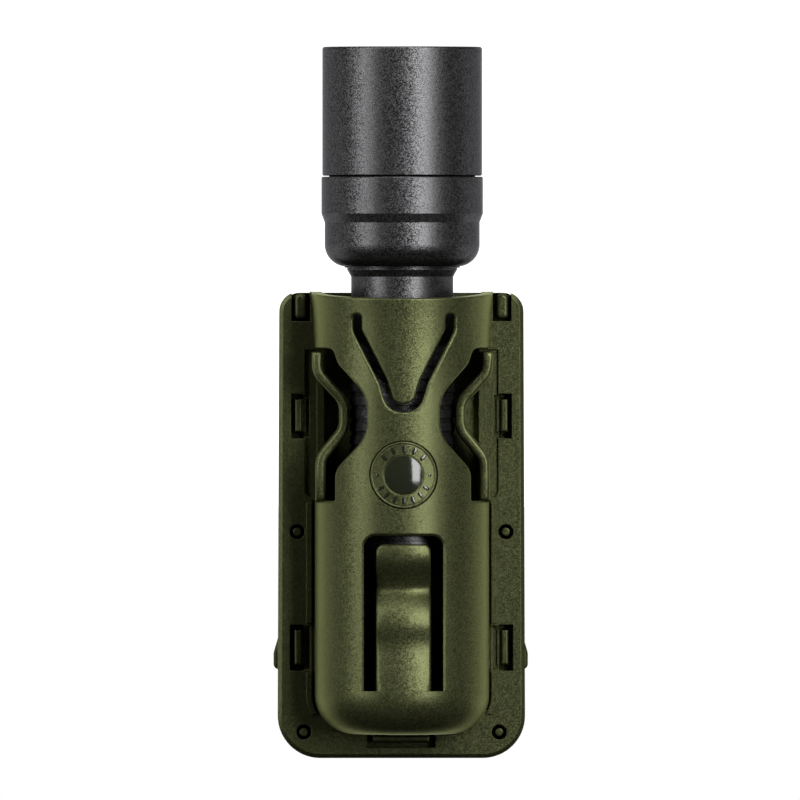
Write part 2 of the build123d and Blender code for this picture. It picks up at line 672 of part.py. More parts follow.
def back_plate():
    """Back half of the holster: flat plate with the snap hooks."""
    plate = through(plate_outline(0.25), SPLIT_Y, BACK_Y)
    rim = plate.edges().filter_by(lambda e: e.center().Y > BACK_Y - 0.01)
    plate = chamfer(rim, 0.7)
    holes = [rod_y(1.25, SPLIT_Y - 1, BACK_Y + 1, x, z) for x, z in hub_screw_places()]
    plate = plate - hook_wells() + snap_hooks()
    notch = block((-9.5, 0, PLATE_HEIGHT - 3.2), (9.5, 30, PLATE_HEIGHT + 2))
    return plate - holes - notch


def hub_screw_places():
    """Centres of the four hub screws in X and Z."""
    half = HUB_SCREW_CIRCLE_R * math.sqrt(0.5)
    return [(x, SWIVEL_Z + dz) for x in (-half, half) for dz in (-half, half)]


def swivel_hub():
    """Round hub screwed to the back plate; its boss turns in the clip."""
    base = rod_y(HUB_R, BACK_Y, HUB_BACK_Y, z=SWIVEL_Z)
    boss = rod_y(BOSS_R, HUB_BACK_Y, CLIP_FRONT_Y + 2.1, z=SWIVEL_Z)
    bore = rod_y(1.25, BACK_Y - 1, BACK_Y + 8, z=SWIVEL_Z)
    body = base + boss - bore
    body = body - countersink(0, SWIVEL_Z, BELT_FACE_Y - 0.3, 0.05)
    for x, z in hub_screw_places():
        body = body - rod_y(1.6, BACK_Y - 1, HUB_BACK_Y + 1, x, z) - countersink(x, z, HUB_BACK_Y, 0.05)
    reach = HUB_SCREW_CIRCLE_R
    lightening = [
        rod_y(2.6, BACK_Y - 1, HUB_BACK_Y + 1, x, SWIVEL_Z + dz)
        for x, dz in ((reach, 0), (0, reach), (-reach, 0), (0, -reach))
    ]
    return body - lightening


def countersink(x, z, face_y, grow=0.0):
    """Cone of a countersunk head, wide end on face_y."""
    cone = Cone(1.5 + grow, 2.9 + grow, 1.5)
    return Pos(x, face_y - 0.75, z) * Rot(-90, 0, 0) * cone


def countersunk_screw(x, z, face_y, tip_y):
    """Countersunk screw with a hexagon socket, head flush with face_y."""
    shank = rod_y(1.2, tip_y, face_y - 1.4, x, z)
    socket = through(Pos(x, z) * RegularPolygon(1.1, 6), face_y - 1.1, face_y + 1)
    return shank + countersink(x, z, face_y) - socket


def hub_screws():
    """Four screws that hold the hub on the back plate."""
    return group(countersunk_screw(x, z, HUB_BACK_Y, SPLIT_Y + 0.4) for x, z in hub_screw_places())


def wave_washer():
    """Spring washer that gives the swivel its drag, shown pressed flat."""
    return rod_y(8.4, 19.8, 20.15, z=SWIVEL_Z) - rod_y(BOSS_R + 0.3, 19, 21, z=SWIVEL_Z)


def retaining_washer():
    """Dished washer that keeps the clip on the hub."""
    plate = rod_y(8.4, CLIP_FRONT_Y + 2.12, BELT_FACE_Y - 0.3, z=SWIVEL_Z)
    bore = rod_y(1.6, 15, 25, z=SWIVEL_Z)
    return plate - bore - countersink(0, SWIVEL_Z, BELT_FACE_Y - 0.3, 0.05)


def hub_center_screw():
    """Countersunk screw through the retaining washer into the hub."""
    return countersunk_screw(0, SWIVEL_Z, BELT_FACE_Y - 0.3, BACK_Y + 0.3)


# ------------------------------------------------------------------ belt clip
def clip_outline():
    """Outline of the clip plate with its two finger ears, drawn in X and Z."""
    side = CLIP_HALF_WIDTH
    ear = EAR_HALF_WIDTH
    right = [
        (14.0, CLIP_BOTTOM_Z), (25.5, EAR_BOTTOM_Z - 0.8), (ear, 20.7), (ear, 24.0),
        (26.6, EAR_TOP_Z + 3.0), (side, EAR_TOP_Z + 10), (side, CLIP_TOP_Z),
    ]
    left = [(-x, z) for x, z in reversed(right)]
    line = FilletPolyline(
        *right, *left, radius=[3, 3, 1.2, 3, 4, 6, 4, 4, 6, 4, 3, 1.2, 3, 3], close=True)
    return make_face(line)


def clip_frame():
    """Clip plate that lies between holster and belt, with hinge lugs and a bottom ledge."""
    plate = through(clip_outline(), CLIP_FRONT_Y, BELT_FACE_Y)
    rims = plate.edges().filter_by(lambda e: abs(e.center().Y - 19.9) > 1.7)
    plate = chamfer(rims, 0.5)
    lug_face = make_face(FilletPolyline(
        (BELT_FACE_Y - 0.5, BRIDGE_BOTTOM_Z), (LEVER_FRONT_Y - 1.6, BRIDGE_BOTTOM_Z),
        (HINGE_Y + 4.2, HINGE_Z - 3.4), (HINGE_Y + 4.2, HINGE_Z + 3.4),
        (BELT_FACE_Y + 1.0, CLIP_TOP_Z), (BELT_FACE_Y - 0.5, CLIP_TOP_Z),
        radius=[0.1, 1.5, 3.2, 3.2, 2.0, 0.1], close=True))
    lugs = [Pos(x, 0, 0) * across(lug_face, 2.3) for x in (-20.0, 20.0)]
    stop_low = (-18, BELT_FACE_Y - 0.5, BRIDGE_BOTTOM_Z)
    stop_high = (18, BELT_FACE_Y + 1.4, BRIDGE_BOTTOM_Z + 2.4)
    top_stop = block(stop_low, stop_high)
    ledge_face = make_face(Polyline(
        (BELT_FACE_Y - 0.5, 24.0), (LEVER_FRONT_Y - 0.4, 24.0), (LEVER_FRONT_Y - 0.4, 26.0),
        (LEVER_FRONT_Y - 1.4, LEDGE_TOP_Z), (BELT_FACE_Y - 0.5, LEDGE_TOP_Z), close=True))
    ledge = across(ledge_face, 14.0)
    bore = rod_y(BOSS_R + RUNNING_FIT, CLIP_FRONT_Y - 1, BELT_FACE_Y + 1, z=SWIVEL_Z)
    pocket = rod_y(8.7, CLIP_FRONT_Y + 1.65, BELT_FACE_Y + 1, z=SWIVEL_Z)
    pin_bore = rod_x(HINGE_PIN_R, 30, HINGE_Y, HINGE_Z)
    ribs = [block((x - 3.2, CLIP_FRONT_Y - 1, 72), (x + 3.2, CLIP_FRONT_Y + 1.6, 90)) for x in (-13, 0, 13)]
    body = plate + lugs + top_stop + ledge
    return body - bore - pocket - pin_bore - ribs


def lever_plate_face():
    """Section of the sprung lever in Y and Z: straight blade, bottom hook and finger tab."""
    front = LEVER_FRONT_Y
    back = front + LEVER_THICK
    return make_face(FilletPolyline(
        (front, 87.0), (front, 31.0), (front - 2.0, 30.2), (front - 2.0, 28.0),
        (front + 0.2, 21.5), (front + 3.0, 15.0), (front + 5.4, 15.0), (back, 23.5), (back, 87.0),
        radius=[0.1, 0.8, 0.4, 0.4, 3.0, 0.8, 1.0, 4.0, 0.1], close=True))


def clip_lever():
    """Sprung lever behind the belt; pulling its tab opens the clip."""
    blade = across(lever_plate_face(), LEVER_HALF_WIDTH)
    window = through(Pos(0, 62) * RectangleRounded(16, 26, 4), 20, 40)
    hook_gap = block((-14.4, LEVER_FRONT_Y - 3, 23), (14.4, LEVER_FRONT_Y, 31.5))
    barrel = rod_x(BARREL_R, LEVER_HALF_WIDTH, HINGE_Y, HINGE_Z)
    web_back_y = LEVER_FRONT_Y + LEVER_THICK
    web = block((-LEVER_HALF_WIDTH, LEVER_FRONT_Y, 85), (LEVER_HALF_WIDTH, web_back_y, HINGE_Z))
    gap_low = (-BARREL_INNER_X, HINGE_Y - 5, HINGE_Z - 5.2)
    gap_high = (BARREL_INNER_X, HINGE_Y + 5, HINGE_Z + 5)
    spring_gap = block(gap_low, gap_high)
    bore = rod_x(HINGE_PIN_R + RUNNING_FIT, 30, HINGE_Y, HINGE_Z)
    grip = [rod_x(0.45, 30, LEVER_FRONT_Y + LEVER_THICK + 0.1, z) for z in range(27, 42, 2)]
    return blade + web + barrel - window - hook_gap - spring_gap - bore - grip


def clip_hinge_pin():
    """Steel pin of the lever's hinge."""
    pin = rod_x(HINGE_PIN_R - 0.01, 22.0, HINGE_Y, HINGE_Z)
    return chamfer(pin.edges().filter_by(GeomType.CIRCLE), 0.3)


def clip_spring():
    """Torsion spring round the hinge pin, with a leg against the clip plate."""
    turns = Rot(0, 90, 0) * coil(2.45, 0.5, 1.2, 12.0)
    return Pos(-6.0, HINGE_Y, HINGE_Z) * turns


PIECES = {
    "focus_sleeve": focus_sleeve,
    "bezel_ring": bezel_ring,
    "lens_gasket": lens_gasket,
    "focus_lens": focus_lens,
    "head_housing": head_housing,
    "sleeve_o_ring": sleeve_o_ring,
    "led_pillar": led_pillar,
    "led_board": led_board,
    "led_emitter": led_emitter,
    "led_spacer": led_spacer,
    "led_leads": led_leads,
    "driver_board": driver_board,
    "driver_ring": driver_ring,
    "contact_spring": contact_spring,
    "body_tube": body_tube,
    "tail_o_ring": tail_o_ring,
    "battery_cell": battery_cell,
    "tail_spring": tail_spring,
    "tail_cap": tail_cap,
    "switch_module": switch_module,
    "switch_plunger": switch_plunger,
    "switch_spring": switch_spring,
    "switch_ring": switch_ring,
    "tail_button": tail_button,
    "front_housing": front_housing,
    "upper_tongue": upper_tongue,
    "lower_tongue": lower_tongue,
    "right_grip_arm": right_grip_arm,
    "badge": badge,
    "back_plate": back_plate,
    "swivel_hub": swivel_hub,
    "hub_screws": hub_screws,
    "wave_washer": wave_washer,
    "retaining_washer": retaining_washer,
    "hub_center_screw": hub_center_screw,
    "clip_frame": clip_frame,
    "clip_lever": clip_lever,
    "clip_hinge_pin": clip_hinge_pin,
    "clip_spring": clip_spring,
}

os.makedirs("parts", exist_ok=True)
for piece_name, make_piece in PIECES.items():
    save(piece_name, make_piece())
save("left_grip_arm", mirror(right_grip_arm(), Plane.YZ))
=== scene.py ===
"""Looks of a focusing torch carried in a moulded belt holster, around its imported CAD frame."""

import json
import logging
import math
from dataclasses import dataclass, field
from enum import Enum
from typing import Any, Sequence

import bmesh
import bpy
from mathutils import Matrix, Vector

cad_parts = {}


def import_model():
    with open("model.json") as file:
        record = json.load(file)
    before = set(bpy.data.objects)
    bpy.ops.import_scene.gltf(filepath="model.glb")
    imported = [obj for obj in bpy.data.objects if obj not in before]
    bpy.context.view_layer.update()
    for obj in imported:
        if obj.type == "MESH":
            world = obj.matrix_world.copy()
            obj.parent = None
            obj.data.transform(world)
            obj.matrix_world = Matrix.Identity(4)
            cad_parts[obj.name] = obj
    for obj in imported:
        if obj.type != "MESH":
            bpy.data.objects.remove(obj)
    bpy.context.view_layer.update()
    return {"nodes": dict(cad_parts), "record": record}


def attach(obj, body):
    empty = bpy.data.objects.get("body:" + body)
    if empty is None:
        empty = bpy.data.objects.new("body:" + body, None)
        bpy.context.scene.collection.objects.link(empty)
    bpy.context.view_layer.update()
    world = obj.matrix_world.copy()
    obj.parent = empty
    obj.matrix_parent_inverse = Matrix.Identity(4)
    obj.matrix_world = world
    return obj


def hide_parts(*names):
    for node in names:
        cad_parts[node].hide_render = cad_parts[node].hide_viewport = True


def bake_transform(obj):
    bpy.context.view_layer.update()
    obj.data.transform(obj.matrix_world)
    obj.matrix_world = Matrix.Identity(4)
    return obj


LOG = logging.getLogger("holstered_torch")
MM = 0.001
TORCH_Y = -21.7 * MM
BOTTOM_Z = -57.0 * MM
WHITE = (1.0, 1.0, 1.0, 1.0)
# Dull black painted into crevices and gaps as painted shade.
CREVICE_SHADE_BLACK = (0.002, 0.002, 0.0012, 1.0)
Colour = tuple[float, float, float]


def at_height(z_mm: float) -> float:
    """Height in the row frame of a point z_mm above the holster's bottom edge."""
    return BOTTOM_Z + z_mm * MM


# ------------------------------------------------------------------ shader tools
class Value:
    """A value in a node tree: a socket whose arithmetic adds Math nodes to the tree."""

    def __init__(self, tree: "Tree", socket: bpy.types.NodeSocket) -> None:
        """Wraps one output socket of a node tree."""
        self.tree = tree
        self.socket = socket

    def _math(self, operation: str, *terms: Any) -> "Value":
        """Adds one Math node.

        Args:
            operation: Blender's name of the operation.
            terms: its inputs, as values or numbers.

        Returns:
            The node's output.
        """
        return self.tree.value("ShaderNodeMath", {"operation": operation}, terms)

    def __add__(self, other: Any) -> "Value":
        """Sum."""
        return self._math("ADD", self, other)

    __radd__ = __add__

    def __sub__(self, other: Any) -> "Value":
        """Difference."""
        return self._math("SUBTRACT", self, other)

    def __rsub__(self, other: Any) -> "Value":
        """Reflected difference."""
        return self._math("SUBTRACT", other, self)

    def __mul__(self, other: Any) -> "Value":
        """Product."""
        return self._math("MULTIPLY", self, other)

    __rmul__ = __mul__

    def at_least(self, other: Any) -> "Value":
        """Larger of the two."""
        return self._math("MAXIMUM", self, other)

    def sine(self) -> "Value":
        """Sine of an angle in radians."""
        return self._math("SINE", self)

    def cosine(self) -> "Value":
        """Cosine of an angle in radians."""
        return self._math("COSINE", self)

    def steps(self, low: float, high: float) -> "Value":
        """Rises smoothly from 0 at low to 1 at high."""
        settings = {"interpolation_type": "SMOOTHSTEP"}
        sockets = {"Value": self, "From Min": low, "From Max": high}
        return self.tree.value("ShaderNodeMapRange", settings, sockets)


class Tree:
    """A node tree of any kind, to which every node of this script is added by one call."""

    def __init__(self, tree: bpy.types.NodeTree) -> None:
        """Starts with the tree empty."""
        self.tree = tree
        tree.nodes.clear()

    def node(self, kind: str, settings: dict[str, Any], inputs: Any = ()) -> bpy.types.Node:
        """Adds a node.

        Args:
            kind: Blender's node type.
            settings: properties, set before the sockets.
            inputs: values or links, by socket name or in socket order.

        Returns:
            The new node.
        """
        node = self.tree.nodes.new(kind)
        for name, setting in settings.items():
            setattr(node, name, setting)
        pairs = inputs.items() if isinstance(inputs, dict) else enumerate(inputs)
        for key, term in pairs:
            if isinstance(term, Value):
                self.tree.links.new(term.socket, node.inputs[key])
            elif term is not None:
                node.inputs[key].default_value = term
        return node

    def value(
        self, kind: str, settings: dict[str, Any], inputs: Any = (), out: int | str = 0
    ) -> Value:
        """Adds a node and wraps one of its outputs."""
        return Value(self, self.node(kind, settings, inputs).outputs[out])


class Shader(Tree):
    """One material's node tree, with short calls for what the finishes use."""

    def __init__(self, name: str) -> None:
        """Starts a material with an empty tree."""
        self.material = bpy.data.materials.new(name)
        self.material.use_nodes = True
        super().__init__(self.material.node_tree)

    def place(self) -> Value:
        """Object coordinates, in metres."""
        return self.value("ShaderNodeTexCoord", {}, (), "Object")

    def depth(self) -> Value:
        """Y of the object coordinates: larger towards the wearer."""
        return self.value("ShaderNodeSeparateXYZ", {}, (self.place(),), "Y")

    def stretched(self, scale: Sequence[float]) -> Value:
        """Object coordinates multiplied along each axis."""
        return self.value("ShaderNodeMapping", {}, {"Vector": self.place(), "Scale": scale})

    def noise(
        self, scale: float, detail: float = 2.0, rough: float = 0.5, where: Value | None = None
    ) -> Value:
        """Noise from 0 to 1.

        Args:
            scale: cells to the metre.
            detail: octaves of finer noise.
            rough: weight of the finer octaves.
            where: coordinates, or None for the object's.

        Returns:
            The noise.
        """
        place = where or self.place()
        sockets = {"Vector": place, "Scale": scale, "Detail": detail, "Roughness": rough}
        return self.value("ShaderNodeTexNoise", {}, sockets)

    def between(self, share: Value, low: Colour, high: Colour) -> Value:
        """Colour from low to high as share goes from 0 to 1."""
        sockets = {"Factor": share, "A": (*low, 1.0), "B": (*high, 1.0)}
        node = self.node("ShaderNodeMix", {"data_type": "RGBA"}, {})
        for name, term in sockets.items():
            socket = next(s for s in node.inputs if s.name == name and s.enabled)
            if isinstance(term, Value):
                self.tree.links.new(term.socket, socket)
            else:
                socket.default_value = term
        return Value(self, next(s for s in node.outputs if s.enabled))

    def bump(self, height: Value, distance: float) -> Value:
        """Normal of a surface raised by height."""
        sockets = {"Height": height, "Distance": distance, "Strength": 1.0}
        return self.value("ShaderNodeBump", {}, sockets)

    def facets(self, scale: float, tilt: float, soften: float) -> tuple[Value, Value]:
        """Normal of a blasted surface: every small cell leans its own way; edges are eased.

        Args:
            scale: cells to the metre.
            tilt: how far the cells lean.
            soften: radius that the edges are eased to, in metres.

        Returns:
            The normal, and a value per cell from 0 to 1.
        """
        sockets = {"Vector": self.place(), "Scale": scale}
        cell = self.value("ShaderNodeTexVoronoi", {}, sockets, "Color")
        eased = self.value("ShaderNodeBevel", {"samples": 4}, {"Radius": soften})
        lean = self._vector("SUBTRACT", {0: cell, 1: (0.5, 0.5, 0.5)})
        lean = self._vector("SCALE", {0: lean, "Scale": tilt})
        normal = self._vector("NORMALIZE", {0: self._vector("ADD", {0: eased, 1: lean})})
        return normal, self.value("ShaderNodeSeparateXYZ", {}, (cell,))

    def _vector(self, operation: str, inputs: dict[int | str, Any]) -> Value:
        """Adds one Vector Math node."""
        return self.value("ShaderNodeVectorMath", {"operation": operation}, inputs)

    def openness(self, reach: float, floor: float, full: float) -> Value:
        """How open the surface lies, for the painted shade in crevices: 0 deep in a crevice, 1 in the
        free.

        Args:
            reach: size of the crevices that count, in metres.
            floor: openness that counts as fully closed.
            full: openness that counts as fully open.

        Returns:
            A value from 0 to 1.
        """
        samples = {"samples": 6}
        seen = self.value("ShaderNodeAmbientOcclusion", samples, {"Distance": reach}, "AO")
        return seen.steps(floor, full)

    def surface(self, openness: Value | None = None, **inputs: Any) -> bpy.types.Material:
        """Ends the tree in a Principled shader.

        Args:
            openness: painted shade; where it is 0 the surface is painted a dull black.
            inputs: its sockets, with underscores for spaces.

        Returns:
            The finished material.
        """
        named = {key.replace("_", " "): term for key, term in inputs.items()}
        shader = self.value("ShaderNodeBsdfPrincipled", {}, named)
        if openness is not None:
            # Painted shade: a dull black diffuse is mixed in where the surface lies deep in a crevice.
            painted_crevice_shade = self.value("ShaderNodeBsdfDiffuse", {}, {"Color": CREVICE_SHADE_BLACK})
            shader = self.value("ShaderNodeMixShader", {}, {0: openness, 1: painted_crevice_shade, 2: shader})
        return self.finished(shader)

    def finished(self, shader: Value) -> bpy.types.Material:
        """Puts a shader on the material's surface."""
        self.node("ShaderNodeOutputMaterial", {}, {"Surface": shader})
        return self.material


# ------------------------------------------------------------------ finishes
def shades(colour: Colour, low: float, high: float) -> tuple[Colour, Colour]:
    """A darker and a lighter shade of a colour, by the two factors."""
    return tuple(c * low for c in colour), tuple(min(1.0, c * high) for c in colour)


@dataclass(frozen=True)
class Moulding:
    """Polymer moulded in a spark-eroded tool: fine even grain with small bright facets."""

    name: str
    colour: Colour
    sheen: Colour = (0.80, 0.85, 0.47)
    metallic: float = 0.75
    roughness: float = 0.41
    grain: float = 4300.0
    speckle: float = 0.5
    tilt: float = 0.1
    ease: float = 0.28 * MM
    # Painted shade: what lies deep, towards the wearer, keeps this share of its colour, ramping in
    # between these two depths.
    low_share: float = 0.74
    low_from: float = -16.0 * MM
    low_to: float = -12.6 * MM
    # Reach of the painted crevice shade.
    crevice: float = 2.2 * MM

    def make(self) -> bpy.types.Material:
        """Builds the material, with painted shade: what lies low, near the wearer, is painted a little
        darker, and crevices are painted a dull black.
        """
        s = Shader(self.name)
        cloud = s.noise(60.0, 3.0)
        normal, grain = s.facets(self.grain, self.tilt, self.ease)
        # Painted shade: darker where the surface lies deep, near the wearer.
        low = s.depth().steps(self.low_from, self.low_to)
        shade = 1.0 - low * ((1.0 - self.low_share) / self.speckle)
        share = (grain * 0.85 + cloud * 0.15) * shade
        dark, light = shades(self.colour, 1.0 - self.speckle, 1.0 + self.speckle)
        return s.surface(
            s.openness(self.crevice, 0.08, 0.5),
            Base_Color=s.between(share, dark, light),
            Roughness=self.roughness + (grain - 0.5) * 0.12 + (cloud - 0.5) * 0.06,
            Normal=normal,
            Specular_Tint=(*self.sheen, 1.0),
            Metallic=self.metallic,
        )


@dataclass(frozen=True)
class Anodise:
    """Bead-blasted aluminium under a black anodised layer."""

    name: str
    colour: Colour = (0.072, 0.072, 0.074)
    edge_tint: Colour = (0.45, 0.45, 0.46)
    metallic: float = 0.95
    roughness: float = 0.39
    grain: float = 4300.0
    speckle: float = 0.6
    tilt: float = 0.12
    ease: float = 0.2 * MM
    # Reach of the painted crevice shade.
    crevice: float = 1.6 * MM

    def make(self) -> bpy.types.Material:
        """Builds the material; crevices are painted a dull black as painted shade."""
        s = Shader(self.name)
        normal, grain = s.facets(self.grain, self.tilt, self.ease)
        cloud = s.noise(45.0)
        dark, light = shades(self.colour, 1.0 - self.speckle, 1.0 + self.speckle)
        return s.surface(
            s.openness(self.crevice, 0.2, 0.85),
            Base_Color=s.between(grain, dark, light),
            Roughness=self.roughness + (grain - 0.5) * 0.12 + (cloud - 0.5) * 0.05,
            Normal=normal,
            Specular_Tint=(*self.edge_tint, 1.0),
            Metallic=self.metallic,
        )


@dataclass(frozen=True)
class Metal:
    """Bare metal with fine tool marks."""

    name: str
    colour: Colour
    roughness: float = 0.3
    marks: float = 900.0

    def make(self) -> bpy.types.Material:
        """Builds the material."""
        s = Shader(self.name)
        marks = s.noise(self.marks, 3.0, 0.6, s.stretched((1.0, 1.0, 9.0)))
        stain = s.noise(120.0)
        return s.surface(
            Base_Color=s.between(stain, *shades(self.colour, 0.85, 1.0)),
            Roughness=self.roughness + (marks - 0.5) * 0.25,
            Metallic=1.0,
            Normal=s.bump(marks, 0.004 * MM),
        )


@dataclass(frozen=True)
class Plain:
    """Small inner parts: a dull or glossy material with faint mottling."""

    name: str
    colour: Colour
    roughness: float = 0.5
    grain: float = 1500.0

    def make(self) -> bpy.types.Material:
        """Builds the material."""
        s = Shader(self.name)
        grain = s.noise(self.grain)
        return s.surface(
            Base_Color=s.between(grain, *shades(self.colour, 0.85, 1.1)),
            Roughness=self.roughness + (grain - 0.5) * 0.12,
            Normal=s.bump(grain, 0.006 * MM),
        )


@dataclass(frozen=True)
class ClearOptic:
    """Polished clear acrylic."""

    name: str
    colour: Colour = (0.97, 0.98, 1.0)
    polish: float = 0.02
    refraction: float = 1.49

    def make(self) -> bpy.types.Material:
        """Builds the material; a little dust dulls it in spots."""
        s = Shader(self.name)
        dust = s.noise(700.0, 4.0).steps(0.62, 0.75)
        return s.surface(
            Base_Color=(*self.colour, 1.0),
            Roughness=self.polish + dust * 0.1,
            Transmission_Weight=1.0,
            IOR=self.refraction,
        )


class Finish(Enum):
    """Every finish of the object, by the record's material slot."""

    ANODISED_BLACK = Anodise("anodised_black")
    BLACK_RUBBER = Plain("black_rubber", (0.012, 0.012, 0.012), 0.62, 2600.0)
    CLEAR_LENS = ClearOptic("clear_lens")
    LED_DOME = Plain("led_dome", (0.9, 0.62, 0.06), 0.18, 2500.0)
    WHITE_PLASTIC = Plain("white_plastic", (0.78, 0.78, 0.75), 0.4)
    BARE_ALUMINIUM = Metal("bare_aluminium", (0.5, 0.5, 0.51), 0.38)
    BOARD_WHITE = Plain("board_white", (0.8, 0.82, 0.8), 0.35)
    BOARD_GREEN = Plain("board_green", (0.01, 0.12, 0.045), 0.3)
    LEAD_SLEEVE = Plain("lead_sleeve", (0.45, 0.02, 0.015), 0.4)
    BRASS = Metal("brass", (0.78, 0.58, 0.27), 0.28)
    GOLD_SPRING = Metal("gold_spring", (0.86, 0.66, 0.3), 0.22)
    CELL_WRAP = Plain("cell_wrap", (0.02, 0.07, 0.24), 0.25)
    BLACK_PLASTIC = Plain("black_plastic", (0.02, 0.02, 0.02), 0.45)
    OLIVE_POLYMER = Moulding("olive_polymer", (0.066, 0.072, 0.031))
    BADGE_GLOSS = Plain("badge_gloss", (0.012, 0.014, 0.008), 0.12)
    BLACK_STEEL = Metal("black_steel", (0.06, 0.06, 0.065), 0.35)
    SPRING_STEEL = Metal("spring_steel", (0.36, 0.36, 0.37), 0.34)


class Paintbox:
    """Makes each finish once."""

    def __init__(self) -> None:
        """Starts with nothing made."""
        self.made: dict[Finish, bpy.types.Material] = {}

    def get(self, finish: Finish) -> bpy.types.Material:
        """The Blender material of a finish."""
        if finish not in self.made:
            self.made[finish] = finish.value.make()
        return self.made[finish]

    def dress(self, nodes: dict[str, bpy.types.Object], slots: dict[str, str]) -> None:
        """Gives every CAD node the finish of its material slot."""
        for name, node in nodes.items():
            finish = Finish[slots[name].upper()]
            for index in range(len(node.data.materials)):
                node.data.materials[index] = self.get(finish)
            LOG.info("%s: %s", name, finish.name.lower())


# ------------------------------------------------------------------ studio
@dataclass(frozen=True)
class Softbox:
    """One large soft light, placed by its bearing from the object."""

    name: str
    bearing_deg: float
    height: float
    distance: float
    size: tuple[float, float]
    power: float

    def build(self, target: Vector) -> None:
        """Adds the light, aimed at the object."""
        data = bpy.data.lights.new(self.name, "AREA")
        data.shape = "RECTANGLE"
        data.size, data.size_y = self.size
        data.energy = self.power
        light = bpy.data.objects.new(self.name, data)
        bearing = math.radians(self.bearing_deg)
        offset = Vector((math.sin(bearing), -math.cos(bearing), 0.0)) * self.distance
        light.location = target + offset + Vector((0, 0, self.height))
        light.rotation_euler = (target - light.location).to_track_quat("-Z", "Y").to_euler()
        bpy.context.scene.collection.objects.link(light)


@dataclass
class Studio:
    """Pale table, white surround, two tall soft lights and the camera."""

    target: Vector = field(default_factory=lambda: Vector((-0.5 * MM, TORCH_Y, at_height(82.2))))
    view_width: float = 183.2 * MM
    distance: float = 6.0
    bearing_deg: float = -1.0
    elevation_deg: float = 0.4
    clip_end: float = 100.0
    floor_drop: float = 75 * MM
    floor_radius: float = 12.0
    floor_glow: float = 1.5
    dim: float = 0.006
    bright: float = 1.35
    lights: tuple[Softbox, ...] = (
        Softbox("light_left", -57.0, 0.42, 0.9, (0.36, 1.3), 9.4),
        Softbox("light_right", 28.5, 0.42, 0.9, (0.33, 1.3), 17.0),
        Softbox("light_top", 0.0, 1.1, 0.25, (0.5, 0.4), 3.0),
    )

    def build(self) -> None:
        """Builds all of it."""
        self.camera()
        self.surround()
        self.table()
        for light in self.lights:
            light.build(self.target)
        bpy.context.scene.view_settings.view_transform = "Standard"

    def camera(self) -> None:
        """Adds the camera: a long lens from the front, a little above."""
        data = bpy.data.cameras.new("camera")
        data.lens = data.sensor_width * self.distance / self.view_width
        data.clip_end = self.clip_end
        camera = bpy.data.objects.new("camera", data)
        bearing, rise = math.radians(self.bearing_deg), math.radians(self.elevation_deg)
        level = Vector((math.sin(bearing), -math.cos(bearing), 0.0))
        back = level * math.cos(rise) + Vector((0.0, 0.0, math.sin(rise)))
        camera.location = self.target + back * self.distance
        camera.rotation_euler = (-back).to_track_quat("-Z", "Y").to_euler()
        bpy.context.scene.collection.objects.link(camera)
        bpy.context.scene.camera = camera

    def surround(self) -> None:
        """White world behind the object, dim in front of it."""
        world = bpy.data.worlds.new("studio")
        bpy.context.scene.world = world
        world.use_nodes = True
        s = Tree(world.node_tree)
        way = s.value("ShaderNodeTexCoord", {}, (), "Generated")
        behind = s.value("ShaderNodeSeparateXYZ", {}, (way,), "Y").steps(0.3, 0.92)
        glow = behind * (self.bright - self.dim) + self.dim
        seen = s.value("ShaderNodeLightPath", {}, (), "Is Camera Ray").at_least(glow)
        back = s.value("ShaderNodeBackground", {}, {"Color": WHITE, "Strength": seen})
        s.node("ShaderNodeOutputWorld", {}, {"Surface": back})

    def table(self) -> None:
        """Wide pale table top, lit from behind, so that it meets the surround without a line."""
        mesh = bpy.data.meshes.new("table")
        shape = bmesh.new()
        bmesh.ops.create_circle(shape, cap_ends=True, segments=96, radius=self.floor_radius)
        shape.to_mesh(mesh)
        shape.free()
        table = bpy.data.objects.new("table", mesh)
        table.location = (0, 0, BOTTOM_Z - self.floor_drop)
        bpy.context.scene.collection.objects.link(table)
        s = Shader("table_white")
        seen = s.value("ShaderNodeLightPath", {}, (), "Is Camera Ray")
        behind = s.depth().steps(0.0, 0.2) * self.floor_glow
        dull, glow = (
            s.value("ShaderNodeEmission", {}, {"Color": WHITE, "Strength": strength})
            for strength in (behind, 1.0)
        )
        mix = s.value("ShaderNodeMixShader", {}, {0: seen, 1: dull, 2: glow})
        mesh.materials.append(s.finished(mix))


# ------------------------------------------------------------------ mesh tools
Ring = list[Vector]


def solid(name: str, rings: Sequence[Ring]) -> bpy.types.Object:
    """Closed mesh through rings of points; a ring of one point is a pole.

    Args:
        name: name of the object.
        rings: rings of equal length, a pole first and last.

    Returns:
        The object, smooth with sharp edges where it turns fast.
    """
    shape = bmesh.new()
    rows = [[shape.verts.new(point) for point in ring] for ring in rings]
    for low, high in zip(rows, rows[1:]):
        count = max(len(low), len(high))
        for index in range(count):
            after = (index + 1) % count
            here, there = (low[i % len(low)] for i in (index, after))
            across = [high[i % len(high)] for i in (after, index)]
            shape.faces.new(list(dict.fromkeys([here, there, *across])))
    bmesh.ops.recalc_face_normals(shape, faces=shape.faces)
    return link(name, shape)


def link(name: str, shape: bmesh.types.BMesh, sharp_deg: float = 32.0) -> bpy.types.Object:
    """Turns a bmesh into a smooth-shaded object in the scene and frees it."""
    mesh = bpy.data.meshes.new(name)
    for face in shape.faces:
        face.smooth = True
    shape.to_mesh(mesh)
    shape.free()
    mesh.set_sharp_from_angle(angle=math.radians(sharp_deg))
    piece = bpy.data.objects.new(name, mesh)
    bpy.context.scene.collection.objects.link(piece)
    return piece


def merged(node: bpy.types.Object) -> bmesh.types.BMesh:
    """Copy of a CAD piece's mesh with its doubled points merged."""
    shape = bmesh.new()
    shape.from_mesh(node.data)
    bmesh.ops.remove_doubles(shape, verts=shape.verts, dist=1e-6)
    return shape


def turning(count: int) -> list[tuple[float, float]]:
    """Sine and cosine of equal steps around a circle."""
    return [(math.sin(math.tau * i / count), math.cos(math.tau * i / count)) for i in range(count)]


